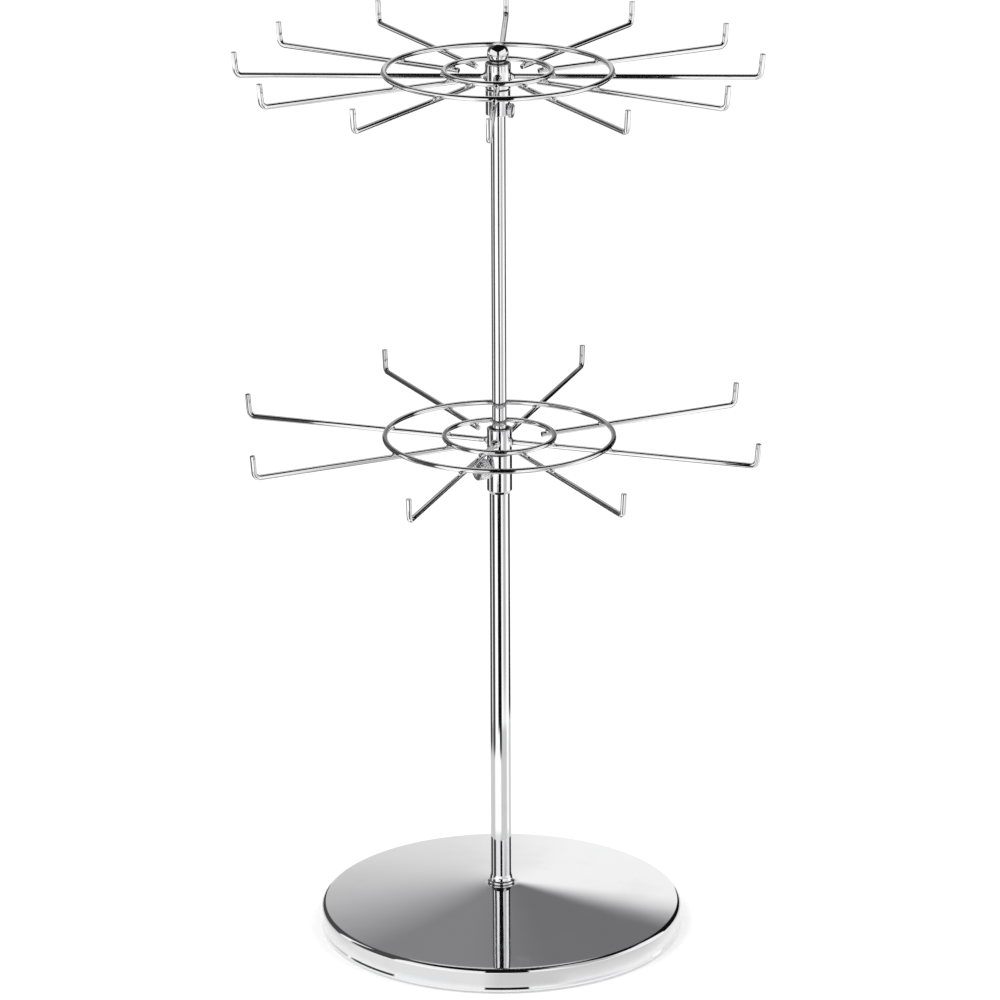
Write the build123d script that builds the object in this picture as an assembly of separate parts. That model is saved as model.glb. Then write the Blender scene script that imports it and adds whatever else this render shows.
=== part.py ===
from build123d import *
import os
from math import sqrt, tan, radians

# Two-tier rotating stand for necklaces: a weighted round base, a telescopic pole and two wheels of wire
# hooks that spin on the pole. Millimetres, +Z up, origin on the counter under the pole's axis.

# Fits
slide_gap = 0.05        # radial clearance of a shaft that slides or turns in its bore
thread_gap = 0.05       # radial clearance of a screw in its tapped hole
end_gap = 0.1           # axial clearance over each slip washer
tip_gap = 0.1           # clamp screw's tip to the mast
seat_gap = 0.3          # clearance of heads and stops that don't touch at rest

# Base cover, pressed from sheet
base_diameter = 200.0
shell_gauge = 1.0
rim_height = 14.0       # counter to the top's sharp corner, before it is rounded
rim_round = 4.2
seat_height = 24.8      # counter to the pole's seat in the middle of the cone
crown_round = 20.0      # where the cone runs into the seat
lip_gap = 1.0           # counter to the underside of the hem
hem_width = 4.6
hem_round = 2.0
hem_rise = 2.6          # underside of the hem to the edge that the weight plate lies on

# Weight, feet and base bolt
plate_thickness = 5.0
plate_gap = 0.6
foot_diameter = 15.0
foot_taper = 1.0
foot_circle_radius = 78.0
foot_count = 4
bolt_diameter = 6.0
bolt_play = 0.5
bolt_head_flats = 10.0
bolt_head_height = 3.4
bolt_rise = 1.7         # counter to the bolt's head
bolt_grip = 12.0        # thread length inside the foot insert
washer_diameter = 16.0
washer_thickness = 1.0
sink_play = 1.0         # round the washer in the plate's sunk seat
insert_length = 18.0
insert_skin = 3.0       # solid top of the insert over the thread's end

# Pole
mast_diameter = 8.0
mast_wall = 1.0
mast_exposed = 217.3    # lock collar's top to the mast's top
mast_rise = 20.0        # further travel up to the stop
tube_wall = 0.8
tube_annulus = 0.85     # between the mast and the lower tube's bore
lower_tube_length = 238.0
flange_diameter = 15.3
flange_bead = 1.0       # radius of the flange's rounded edge
flange_height = 5.2
flange_lip = 0.3
plug_length = 12.0
plug_spigot = 8.0

# Collars
lock_wall = 1.35
lock_length = 22.4
lock_socket = 10.6      # depth of the lower tube in the lock collar
lock_bevel = 2.0
lock_screw_height = 4.2     # above the lower tube's end
collar_wall = 2.6
collar_length = 13.8
collar_screw_height = 2.4   # above the upper collar's underside
collar_flat_depth = 1.25    # flat milled for the collar screw's head
collar_flat_step = 0.5      # above the head
edge_break = 0.4

# Clamp screws
lock_screw_diameter = 5.0
lock_head_diameter = 11.5
lock_head_length = 7.0
lock_head_bevel = 0.5
lock_screw_angle = -150.0
collar_screw_diameter = 3.0
collar_head_diameter = 8.0
collar_head_length = 2.6
collar_head_bevel = 0.3
collar_screw_angle = -18.0
screw_rim_share = 0.28  # smooth outer rim, as a share of the head's length
knurl_pitch = 1.4
knurl_depth = 0.35

# Hubs
hub_length = 13.6
hub_wall = 1.65
bush_wall = 1.2
bush_recess = 0.3
spoke_height = 6.2      # hub's underside to the spokes' centre
slip_thickness = 0.6
slip_inset = 0.7        # slip washer's edge inside the hub's
hub_headroom = 0.6      # hub's top to the mast's top

# Wire wheels
hook_wire = 3.0
ring_wire = 3.0
weld_sink = 0.3         # how far a ring is set into the hook wires by its welds
weld_reach = 2.2
weld_spread = 1.2       # weld fillet beyond the wire at the hub
hook_bend = 3.5         # centreline radius
hook_height = 12.5
hook_lean_angle = 5.0   # outwards
spoke_overhang = 4.2    # short spoke's inner end inside the inner ring
upper_reach = 138.8     # axis to the hook's corner
upper_outer_ring = 60.5
upper_inner_ring = 28.7
upper_hooks = 12
upper_start_angle = -1.9
lower_reach = 144.5
lower_outer_ring = 61.9
lower_inner_ring = 29.8
lower_hooks = 8
lower_start_angle = -18.8
long_spokes = 4

# Finial
ball_diameter = 11.6
ball_seat_inset = 0.2
stud_diameter = 4.0
stud_length = 5.0
stud_play = 0.5
finial_plug_length = 10.0

# Radii
base_radius = base_diameter / 2
mast_radius = mast_diameter / 2
mast_bore = mast_radius - mast_wall
guide_radius = mast_radius + slide_gap
tube_bore = mast_radius + tube_annulus
tube_radius = tube_bore + tube_wall
lock_radius = tube_radius + lock_wall
collar_radius = guide_radius + collar_wall
collar_flat = collar_radius - collar_flat_depth
bush_radius = guide_radius + bush_wall
hub_radius = bush_radius + hub_wall
flange_radius = flange_diameter / 2
bolt_radius = bolt_diameter / 2
bolt_hole = bolt_radius + bolt_play

# Heights, from the counter up
plate_bottom = lip_gap + hem_rise
plate_top = plate_bottom + plate_thickness
shell_underside = seat_height - shell_gauge
washer_bottom = bolt_rise + bolt_head_height
sink_top = washer_bottom + washer_thickness
lower_tube_top = seat_height + lower_tube_length
lock_bottom = lower_tube_top - lock_socket
lock_top = lock_bottom + lock_length
lower_hub_bottom = lock_top + slip_thickness + end_gap
mast_top = lock_top + mast_exposed
mast_bottom = lower_tube_top - seat_gap - mast_rise
upper_hub_bottom = mast_top - hub_headroom - hub_length
collar_top = upper_hub_bottom - end_gap - slip_thickness
collar_bottom = collar_top - collar_length
lock_screw_z = lower_tube_top + lock_screw_height
collar_screw_z = collar_bottom + collar_screw_height


def turned(outline):
    """Turn a closed outline of (radius, height) points about the Z axis."""
    return revolve(Plane.XZ * make_face(Polyline(*outline, close=True)), Axis.Z)


def sleeve(outer, inner, bottom, top, bevel=0.0):
    """Plain tube, with its outer edges bevelled."""
    outline = [(inner, bottom), (outer - bevel, bottom)]
    if bevel:
        outline += [(outer, bottom + bevel), (outer, top - bevel)]
    outline += [(outer - bevel, top), (inner, top)]
    return turned(outline)


def rod(radius, bottom, top):
    """Solid round bar on the Z axis."""
    return Pos(0, 0, bottom) * extrude(Circle(radius), top - bottom)


def base_shell():
    """Sheet cover: seat, cone, rounded rim, skirt, and a hem curled in under the weight plate."""
    half = shell_gauge / 2
    hem_leg = base_radius - hem_width + half
    middle = FilletPolyline(
        (bolt_hole, seat_height - half),
        (flange_radius + 1.5 * flange_bead, seat_height - half),
        (base_radius - half, rim_height - half),
        (base_radius - half, lip_gap + half),
        (hem_leg, lip_gap + half),
        (hem_leg, plate_bottom),
        radius=[crown_round, rim_round - half, hem_round - half, hem_round - half],
    )
    return revolve(Plane.XZ * trace(middle, shell_gauge), Axis.Z)


def weight_plate():
    """Round plate that lies on the hem, with a sunk seat for the bolt's head."""
    sink_radius = washer_diameter / 2 + sink_play
    return turned([
        (sink_radius, plate_bottom),
        (base_radius - shell_gauge - plate_gap, plate_bottom),
        (base_radius - shell_gauge - plate_gap, plate_top),
        (bolt_hole, plate_top),
        (bolt_hole, sink_top),
        (sink_radius, sink_top),
    ])


def rubber_feet():
    """Tapered feet stuck to the plate's underside, standing on the counter."""
    radius = foot_diameter / 2
    foot = turned([
        (0, 0),
        (radius - foot_taper, 0),
        (radius, foot_taper),
        (radius, plate_bottom),
        (0, plate_bottom),
    ])
    places = PolarLocations(foot_circle_radius, foot_count, 360 / foot_count / 2)
    return Compound([place * foot for place in places])


def base_bolt():
    """Hexagon bolt from below, through plate, spacer and cover into the foot insert."""
    hexagon = RegularPolygon(bolt_head_flats / 2, 6, major_radius=False)
    head = Pos(0, 0, bolt_rise) * extrude(hexagon, bolt_head_height)
    return head + rod(bolt_radius, washer_bottom, seat_height + bolt_grip)


def foot_insert():
    """Plug fixed in the lower tube's end, tapped from below."""
    tapped = bolt_radius + thread_gap
    thread_top = seat_height + insert_length - insert_skin
    return rod(tube_bore, seat_height, seat_height + insert_length) - rod(tapped, seat_height, thread_top)


def pole_flange():
    """Trim ring round the pole's foot: a rounded edge that sweeps up to a thin lip."""
    neck = flange_radius - flange_bead
    lip = tube_radius + flange_lip
    bead = ThreePointArc((neck, 0), (flange_radius, flange_bead), (neck, 2 * flange_bead))
    sweep_up = RadiusArc((neck, 2 * flange_bead), (lip, flange_height), -flange_height)
    rest = Polyline((lip, flange_height), (tube_radius, flange_height), (tube_radius, 0), (neck, 0))
    section = make_face(Curve() + [bead, sweep_up, rest])
    return Pos(0, 0, seat_height) * revolve(Plane.XZ * section, Axis.Z)


def lock_collar():
    """Collar over the lower tube's end: socket below, mast bore above, tapped hole for the clamp screw."""
    body = turned([
        (tube_radius, lock_bottom),
        (lock_radius, lock_bottom + lock_bevel),
        (lock_radius, lock_top - edge_break),
        (lock_radius - edge_break, lock_top),
        (guide_radius, lock_top),
        (guide_radius, lower_tube_top),
        (tube_radius, lower_tube_top),
    ])
    return body - cross_hole(lock_screw_diameter, lock_radius, lock_screw_z, lock_screw_angle)


def upper_collar():
    """Collar that carries the upper wheel anywhere on the mast, with a flat under its screw's head."""
    body = sleeve(collar_radius, guide_radius, collar_bottom, collar_top, edge_break)
    rise = collar_head_diameter / 2 + collar_flat_step
    flat = Pos(-rise, 0, collar_flat) * Box(
        rise + 2 * collar_screw_height, 2 * collar_radius, collar_radius,
        align=(Align.MIN, Align.CENTER, Align.MIN),
    )
    body -= radial(collar_screw_z, collar_screw_angle) * flat
    return body - cross_hole(collar_screw_diameter, collar_radius, collar_screw_z, collar_screw_angle)


def radial(height, angle):
    """Frame whose own Z axis points out from the pole's axis at a height and an angle."""
    return Pos(0, 0, height) * Rot(0, 0, angle) * Rot(0, 90, 0)


def cross_hole(screw_diameter, collar, height, angle):
    """Cutter for a tapped hole from the mast's bore out through one side of a collar."""
    return radial(height, angle) * rod(screw_diameter / 2 + thread_gap, mast_radius / 2, 2 * collar)


def thumbscrew(diameter, head_diameter, head_length, head_bevel, seat, height, angle):
    """Clamp screw with a straight-knurled head and a smooth rim, its tip at the mast."""
    inner = seat + seat_gap
    outer = inner + head_length
    knurl_start = inner + 2 * head_bevel
    knurl_end = outer - screw_rim_share * head_length
    radius = head_diameter / 2
    head = turned([
        (0, inner),
        (radius - 3 * head_bevel, inner),
        (radius - knurl_depth, knurl_start),
        (radius - knurl_depth, knurl_end),
        (radius, knurl_end + head_bevel / 2),
        (radius, outer - head_bevel),
        (radius - head_bevel, outer),
        (radius - 3 * head_bevel, outer),
        (radius - 4 * head_bevel, outer - head_bevel),
        (0, outer - head_bevel),
    ])
    teeth = round(Circle(radius).edge().length / knurl_pitch)
    root = radius - knurl_depth - head_bevel / 4
    tooth = make_face(Polyline(
        (root, -knurl_pitch / 2),
        (radius, 0),
        (root, knurl_pitch / 2),
        (root - knurl_depth, 0),
        close=True,
    ))
    ridges = [Rot(0, 0, 360 / teeth * i) * tooth for i in range(teeth)]
    grip = extrude(Pos(0, 0, knurl_start) * (Circle(root) + ridges), knurl_end + head_bevel - knurl_start)
    shank = rod(diameter / 2, mast_radius + tip_gap, inner)
    return radial(height, angle) * (head + grip + shank)


def mast_guide_plug():
    """Plastic plug in the mast's foot: runs in the lower tube and stops under the lock collar."""
    skirt = tube_bore - 2 * slide_gap
    return turned([
        (0, mast_bottom - plug_length),
        (skirt - edge_break, mast_bottom - plug_length),
        (skirt, mast_bottom - plug_length + edge_break),
        (skirt, mast_bottom),
        (mast_bore, mast_bottom),
        (mast_bore, mast_bottom + plug_spigot),
        (0, mast_bottom + plug_spigot),
    ])


def finial_insert():
    """Plug fixed in the mast's top, with the stud that the ball screws onto."""
    plug = rod(mast_bore, mast_top - finial_plug_length, mast_top)
    return plug + rod(stud_diameter / 2, mast_top, mast_top + stud_length)


def ball_finial():
    """Ball with a small flat that seats on the mast's end."""
    radius = ball_diameter / 2
    centre = mast_top + sqrt(radius**2 - (mast_radius - ball_seat_inset)**2)
    ball = Pos(0, 0, centre) * Sphere(radius)
    below = rod(ball_diameter, mast_top - ball_diameter, mast_top)
    return ball - below - rod(stud_diameter / 2, mast_top, mast_top + stud_length + stud_play)


def hook(inner, reach, height, angle):
    """One wire: a straight spoke, then a rounded corner up into a square-cut tip that leans out."""
    tip = reach + hook_height * tan(radians(hook_lean_angle))
    line = Plane.XZ * FilletPolyline((inner, 0), (reach, 0), (tip, hook_height), radius=hook_bend)
    wire = sweep(Plane(line @ 0, z_dir=line % 0) * Circle(hook_wire / 2), path=line)
    return Pos(0, 0, height) * Rot(0, 0, angle) * wire


def weld(height, angle):
    """Fillet of weld where a long spoke meets the hub."""
    wire = hook_wire / 2
    fillet = turned([
        (0, hub_radius - weld_spread),
        (wire + weld_spread, hub_radius - weld_spread),
        (wire + weld_spread, hub_radius),
        (wire, hub_radius + weld_reach),
        (0, hub_radius + weld_reach),
    ])
    return radial(height, angle) * fillet


def wire_wheel(tier, hub_bottom, reach, outer_ring, inner_ring, hooks, start):
    """Hub, bush, two rings and the ring of hooks of one tier, as named pieces."""
    height = hub_bottom + spoke_height
    ring_height = height + (hook_wire + ring_wire) / 2 - weld_sink
    rings = [Pos(0, 0, ring_height) * Torus(radius, ring_wire / 2) for radius in (outer_ring, inner_ring)]
    hub_top = hub_bottom + hub_length
    pieces = {
        f"{tier}_hub": sleeve(hub_radius, bush_radius, hub_bottom, hub_top, edge_break),
        f"{tier}_bush": sleeve(bush_radius, guide_radius, hub_bottom + bush_recess, hub_top - bush_recess),
        f"{tier}_outer_ring": rings[0],
        f"{tier}_inner_ring": rings[1],
    }
    hub_core = rod(hub_radius, hub_bottom, hub_top)
    for i in range(hooks):
        angle = start + 360 / hooks * i
        if i % (hooks // long_spokes) == 0:
            wire = hook(hub_radius / 2, reach, height, angle) + weld(height, angle) - hub_core
        else:
            wire = hook(inner_ring - spoke_overhang, reach, height, angle)
        pieces[f"{tier}_hook_{i + 1:02d}"] = wire - rings[0] - rings[1]
    return pieces


def slip_washer(bottom):
    """Washer that a hub turns on."""
    return sleeve(hub_radius - slip_inset, guide_radius, bottom, bottom + slip_thickness)


pieces = {
    "base_shell": base_shell(),
    "weight_plate": weight_plate(),
    "base_spacer": sleeve(flange_radius, bolt_hole, plate_top, shell_underside),
    "base_bolt": base_bolt(),
    "base_washer": sleeve(washer_diameter / 2, bolt_radius + thread_gap, washer_bottom, sink_top),
    "rubber_feet": rubber_feet(),
    "foot_insert": foot_insert(),
    "pole_flange": pole_flange(),
    "lower_tube": sleeve(tube_radius, tube_bore, seat_height, lower_tube_top),
    "lock_collar": lock_collar(),
    "lower_thrust_washer": slip_washer(lock_top),
    "lock_thumbscrew": thumbscrew(lock_screw_diameter, lock_head_diameter, lock_head_length,
                                  lock_head_bevel, lock_radius, lock_screw_z, lock_screw_angle),
    "mast_tube": sleeve(mast_radius, mast_bore, mast_bottom, mast_top),
    "mast_guide_plug": mast_guide_plug(),
    "finial_insert": finial_insert(),
    "ball_finial": ball_finial(),
    "upper_collar": upper_collar(),
    "upper_thrust_washer": slip_washer(collar_top),
    "upper_thumbscrew": thumbscrew(collar_screw_diameter, collar_head_diameter, collar_head_length,
                                   collar_head_bevel, collar_flat, collar_screw_z, collar_screw_angle),
}
pieces |= wire_wheel("lower", lower_hub_bottom, lower_reach, lower_outer_ring, lower_inner_ring,
                     lower_hooks, lower_start_angle)
pieces |= wire_wheel("upper", upper_hub_bottom, upper_reach, upper_outer_ring, upper_inner_ring,
                     upper_hooks, upper_start_angle)

os.makedirs("parts", exist_ok=True)
for name, piece in pieces.items():
    export_step(piece, f"parts/{name}.step")
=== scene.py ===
"""Dressed model of a rotating jewellery stand.

A chromed round base carries a telescopic pole. Two wheels of wire hooks turn on the pole, and a
ball ends it. Sizes are in millimetres in the classes and become metres where a mesh is made.
"""

import logging
from dataclasses import dataclass
from enum import Enum
from functools import cache, partial
from math import atan2, ceil, cos, floor, pi, radians, sin, sqrt, tan
from typing import Any, Callable, Sequence

import bmesh
import bpy
from bmesh.types import BMesh, BMVert
from bpy.types import Material, Node, NodeSocket, NodeTree, Object
from mathutils import Matrix, Vector, noise


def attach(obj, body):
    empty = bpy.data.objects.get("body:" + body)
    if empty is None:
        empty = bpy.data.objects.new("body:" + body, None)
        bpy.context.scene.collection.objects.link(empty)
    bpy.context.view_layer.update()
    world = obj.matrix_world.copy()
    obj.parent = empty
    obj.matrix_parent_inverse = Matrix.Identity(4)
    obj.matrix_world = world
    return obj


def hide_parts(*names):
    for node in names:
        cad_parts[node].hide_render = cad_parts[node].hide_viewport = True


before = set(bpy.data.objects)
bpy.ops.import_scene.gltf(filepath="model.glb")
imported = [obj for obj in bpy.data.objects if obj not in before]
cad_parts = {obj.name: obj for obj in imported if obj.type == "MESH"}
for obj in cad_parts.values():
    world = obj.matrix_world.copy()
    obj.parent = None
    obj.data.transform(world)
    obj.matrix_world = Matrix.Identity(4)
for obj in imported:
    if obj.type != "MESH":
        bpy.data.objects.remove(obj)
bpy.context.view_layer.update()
log = logging.getLogger("jewellery_stand")

MM = 0.001
TINY = 1e-6
SHARP_ANGLE = 38.0
SUPPORT_SHARE = 0.15

Colour = tuple[float, float, float]
Outline = list[tuple[float, float]]
Row = list[BMVert]
Relief = Callable[[float, float, float], float]


# Outlines and meshes


@dataclass(frozen=True)
class Corner:
    """One corner of an outline: its distance from the axis, its height and its rounding."""

    radius: float
    height: float
    fillet: float = 0.0


def rounded(corners: Sequence[Corner], closed: bool = True, steps: int = 5) -> Outline:
    """Turn corners into an outline whose fillets run tangent into the straights.

    A support point beside each fillet keeps the shading of the straight next to it flat.

    Args:
        corners: The outline's corners in order.
        closed: Whether the last corner joins the first.
        steps: Number of chords in each fillet.

    Returns:
        The points of the outline.
    """
    points: Outline = []
    count = len(corners)
    for i, corner in enumerate(corners):
        here = Vector((corner.radius, corner.height))
        if corner.fillet <= 0 or (not closed and i in (0, count - 1)):
            points.append((here.x, here.y))
            continue
        before, after = corners[i - 1], corners[(i + 1) % count]
        back = (Vector((before.radius, before.height)) - here).normalized()
        ahead = (Vector((after.radius, after.height)) - here).normalized()
        half = back.angle(ahead) / 2
        reach = corner.fillet / tan(half)
        centre = here + (back + ahead).normalized() * (corner.fillet / sin(half))
        support = SUPPORT_SHARE * corner.fillet
        start, end = here + back * reach, here + ahead * reach
        first = atan2(start.y - centre.y, start.x - centre.x)
        turn = atan2(end.y - centre.y, end.x - centre.x) - first
        turn = (turn + pi) % (2 * pi) - pi
        points.append(tuple(start + back * support))
        for k in range(steps + 1):
            angle = first + turn * k / steps
            points.append(
                (centre.x + corner.fillet * cos(angle), centre.y + corner.fillet * sin(angle)))
        points.append(tuple(end + ahead * support))
    return points


def sleeve_outline(
    bore: float, radius: float, bottom: float, top: float, edge: float, steps: int = 5
) -> Outline:
    """Outline a plain sleeve whose outer edges are softened."""
    corners = [Corner(bore, bottom), Corner(radius, bottom, edge), Corner(radius, top, edge)]
    return rounded([*corners, Corner(bore, top)], steps=steps)


def thickened(centreline: Outline, gauge: float) -> Outline:
    """Give an open centreline a sheet's thickness.

    Args:
        centreline: Points along the middle of the sheet.
        gauge: Thickness of the sheet.

    Returns:
        The closed outline round the sheet.
    """
    points = [Vector(p) for p in centreline]
    sides: list[list[Vector]] = [[], []]
    for i, point in enumerate(points):
        before = (point - points[i - 1]).normalized() if i else None
        after = (points[i + 1] - point).normalized() if i + 1 < len(points) else None
        along = ((before or after) + (after or before)).normalized()
        spread = gauge / 2 / (along.dot(after or before))
        across = Vector((-along.y, along.x)) * spread
        sides[0].append(point + across)
        sides[1].append(point - across)
    return [tuple(p) for p in sides[0] + sides[1][::-1]]


def filled_rows(outline: Outline, low: float, high: float, step: float) -> Outline:
    """Divide the straights of an outline between two heights, so that a relief has points.

    Args:
        outline: The outline's points.
        low: Height where the relief starts.
        high: Height where it ends.
        step: Greatest distance between two points there.

    Returns:
        The outline with the added points.
    """
    points: Outline = []
    for (r0, z0), (r1, z1) in zip(outline, outline[1:] + outline[:1]):
        points.append((r0, z0))
        inside = min(z0, z1) >= low - TINY and max(z0, z1) <= high + TINY
        cuts = ceil(abs(z1 - z0) / step) if inside else 1
        points += [
            (r0 + (r1 - r0) * k / cuts, z0 + (z1 - z0) * k / cuts) for k in range(1, cuts)]
    return points


def finished_mesh(name: str, shape: BMesh, place: Matrix | None = None) -> Object:
    """Turn a bmesh in millimetres into a smooth object in metres, in the stand's own frame.

    Args:
        name: Name of the new object.
        shape: The mesh, which is used up.
        place: Where the mesh goes, in millimetres.

    Returns:
        The new object.
    """
    shape.transform(Matrix.Scale(MM, 4) @ (place or Matrix.Identity(4)))
    bmesh.ops.recalc_face_normals(shape, faces=shape.faces)
    mesh = bpy.data.meshes.new(name)
    shape.to_mesh(mesh)
    shape.free()
    mesh.polygons.foreach_set("use_smooth", [True] * len(mesh.polygons))
    mesh.set_sharp_from_angle(angle=radians(SHARP_ANGLE))
    piece = bpy.data.objects.new(name, mesh)
    bpy.context.scene.collection.objects.link(piece)
    return piece


def add_skin(shape: BMesh, rows: Sequence[Row], line: Sequence[Vector]) -> None:
    """Join rows of points with faces, with u round the rows and v along them in metres.

    Args:
        shape: The mesh that the points are in.
        rows: The rows in order; one that repeats a single point closes an end.
        line: The point of the outline or path that each row belongs to.
    """
    uv = shape.loops.layers.uv.verify()
    columns = len(rows[0])
    v0 = 0.0
    for low, high, before, after in zip(rows, rows[1:], line, line[1:]):
        v1 = v0 + (after - before).length * MM
        for k in range(columns):
            n = (k + 1) % columns
            ring = [(low[k], k, v0), (low[n], k + 1, v0), (high[n], k + 1, v1), (high[k], k, v1)]
            corners = [c for j, c in enumerate(ring) if c[0] is not ring[j - 1][0]]
            if len(corners) < 3:
                continue
            face = shape.faces.new([c[0] for c in corners])
            for loop, (_, column, v) in zip(face.loops, corners):
                loop[uv].uv = (column / columns, v)
        v0 = v1


@dataclass(frozen=True)
class Turning:
    """A surface turned about the Z axis.

    The outline has points of (radius, height); closed tells whether its last joins its first. The
    relief gives the height of the surface's pattern, from (angle, radius, height).
    """

    outline: Outline
    segments: int
    closed: bool = True
    relief: Relief | None = None

    def add(self, shape: BMesh) -> None:
        """Add the surface to a mesh.

        Args:
            shape: The mesh that the surface is added to.
        """
        rows: list[Row] = []
        for radius, height in self.outline:
            if radius < TINY:
                rows.append([shape.verts.new((0, 0, height))] * self.segments)
                continue
            row = []
            for k in range(self.segments):
                angle = 2 * pi * k / self.segments
                out = radius + (self.relief(angle, radius, height) if self.relief else 0.0)
                row.append(shape.verts.new((out * cos(angle), out * sin(angle), height)))
            rows.append(row)
        line = [Vector(p) for p in self.outline]
        if self.closed:
            rows.append(rows[0])
            line.append(line[0])
        add_skin(shape, rows, line)

    def piece(self, name: str, place: Matrix | None = None) -> Object:
        """Make the surface a piece of its own.

        Args:
            name: Name of the new object.
            place: Where the piece goes, in millimetres.

        Returns:
            The new object.
        """
        shape = bmesh.new()
        self.add(shape)
        return finished_mesh(name, shape, place)


def add_wire(shape: BMesh, path: Sequence[Vector], radius: float, sides: int, edge: float) -> None:
    """Add a round wire along a path in the XZ plane, with softened square ends.

    Args:
        shape: The mesh that the wire is added to.
        path: Points of the wire's centreline.
        radius: Radius of the wire.
        sides: Number of divisions round the wire.
        edge: Radius of the rounding at its cut ends.
    """
    stations: list[tuple[Vector, Vector, float]] = []
    for i, point in enumerate(path):
        ahead = (path[min(i + 1, len(path) - 1)] - path[max(i - 1, 0)]).normalized()
        stations.append((point, ahead, radius))
    for last in (False, True):
        point, ahead, _ = stations[-1 if last else 0]
        away = ahead if last else -ahead
        ends = [
            (point + away * edge * sin(a), ahead, radius - edge * (1 - cos(a)))
            for a in (radians(30), radians(60), radians(90))
        ]
        ends.append((point + away * edge, ahead, 0.0))
        shift = away * -edge
        ends = [(p + shift, t, r) for p, t, r in ends]
        base = (point + shift, ahead, radius)
        if last:
            stations = stations[:-1] + [base] + ends
        else:
            stations = ends[::-1] + [base] + stations[1:]
    side = Vector((0, 1, 0))
    turns = [2 * pi * k / sides for k in range(sides)]
    rows: list[Row] = []
    for point, ahead, size in stations:
        if size < TINY:
            rows.append([shape.verts.new(point)] * sides)
            continue
        up = side.cross(ahead)
        rows.append(
            [shape.verts.new(point + (side * cos(a) + up * sin(a)) * size) for a in turns])
    add_skin(shape, rows, [station[0] for station in stations])


def add_bead(shape: BMesh, centre: Vector, size: Vector, angle: float, seed: float) -> None:
    """Add one lump of weld.

    Args:
        shape: The mesh that the bead is added to.
        centre: Middle of the bead.
        size: Half its length, width and height.
        angle: Turn about the vertical, in degrees.
        seed: Number that makes this bead's lumps its own.
    """
    lump_height, lump_pitch = 0.14, 1.7
    made = bmesh.ops.create_icosphere(shape, subdivisions=3, radius=1.0)["verts"]
    turn = Matrix.Rotation(radians(angle), 3, "Z")
    for vert in made:
        lump = 1.0 + lump_height * noise.noise(vert.co * lump_pitch + Vector((seed, 0, 0)))
        local = Vector([length * half for length, half in zip(vert.co, size)]) * lump
        vert.co = centre + turn @ local


# Shader nodes


class NodeBench:
    """Adds nodes to one tree from left to right and links them by name."""

    column_width = 190

    def __init__(self, tree: NodeTree) -> None:
        """Keep the tree and start at its left."""
        self.tree = tree
        self.column = 0

    def add(self, kind: str, inputs: dict[Any, Any] | None = None, **settings: Any) -> Node:
        """Add a node.

        Args:
            kind: Blender's name for the node.
            inputs: What goes into each input, by name or number: a value or a node's output.
            settings: The node's own properties.

        Returns:
            The new node.
        """
        node = self.tree.nodes.new(kind)
        node.location = (self.column * self.column_width, 0)
        self.column += 1
        for name, value in settings.items():
            setattr(node, name, value)
        for name, value in (inputs or {}).items():
            if isinstance(value, NodeSocket):
                self.tree.links.new(value, node.inputs[name])
            else:
                node.inputs[name].default_value = value
        return node

    def maths(self, operation: str, *values: Any) -> NodeSocket:
        """Add a Math node and return its output."""
        return self.add("ShaderNodeMath", dict(enumerate(values)), operation=operation).outputs[0]

    def ramp(
        self, value: Any, low: float, high: float, start: float = 0.0, end: float = 1.0
    ) -> NodeSocket:
        """Map a value smoothly from one range to another.

        Args:
            value: The output that is mapped.
            low: Value that gives the start.
            high: Value that gives the end.
            start: Result at the low value.
            end: Result at the high value.

        Returns:
            The output with the result.
        """
        inputs = {"Value": value, "From Min": low, "From Max": high, "To Min": start, "To Max": end}
        node = self.add("ShaderNodeMapRange", inputs, interpolation_type="SMOOTHSTEP")
        return node.outputs["Result"]

    def noise(self, vector: NodeSocket, scale: Any, detail: float, rough: float) -> NodeSocket:
        """Add a noise texture and return its value."""
        inputs = {"Vector": vector, "Scale": scale, "Detail": detail, "Roughness": rough}
        return self.add("ShaderNodeTexNoise", inputs).outputs["Fac"]

    def place(self, space: str = "Object") -> NodeSocket:
        """Return the place on the piece, in its own space or along its surface."""
        return self.add("ShaderNodeTexCoord").outputs[space]

    def axes(self, space: str = "Object") -> Any:
        """Return the place on the piece, split into its axes."""
        return self.add("ShaderNodeSeparateXYZ", {"Vector": self.place(space)}).outputs

    def effect(self, group: NodeTree, **inputs: float) -> NodeSocket:
        """Place an effect group with its own values.

        Args:
            group: The effect's node group.
            inputs: A value for each of its inputs, by the input's name in small letters.

        Returns:
            The effect's output.
        """
        node = self.add("ShaderNodeGroup", node_tree=group)
        for name, value in inputs.items():
            node.inputs[name.capitalize()].default_value = value
        return node.outputs[0]


def effect_group(name: str, inputs: Sequence[str], output: str) -> tuple[NodeBench, Node, Node]:
    """Start a node group that takes and gives plain values.

    Args:
        name: The group's name.
        inputs: Names of its inputs.
        output: Name of its output.

    Returns:
        The bench for its nodes, its input node and its output node.
    """
    tree = bpy.data.node_groups.new(name, "ShaderNodeTree")
    for label in inputs:
        tree.interface.new_socket(label, in_out="INPUT", socket_type="NodeSocketFloat")
    tree.interface.new_socket(output, in_out="OUTPUT", socket_type="NodeSocketFloat")
    bench = NodeBench(tree)
    return bench, bench.add("NodeGroupInput"), bench.add("NodeGroupOutput")


@cache
def ripple_effect() -> NodeTree:
    """Make the long soft waves that plating and pressing leave in a bright surface.

    Returns:
        The node group, which gives a height.
    """
    bench, given, result = effect_group("Plating ripple", ["Wavelength"], "Height")
    scale = bench.maths("DIVIDE", 1.0, given.outputs["Wavelength"])
    waves = bench.noise(bench.place(), scale, detail=1.0, rough=0.35)
    bench.tree.links.new(waves, result.inputs["Height"])
    return bench.tree


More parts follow.
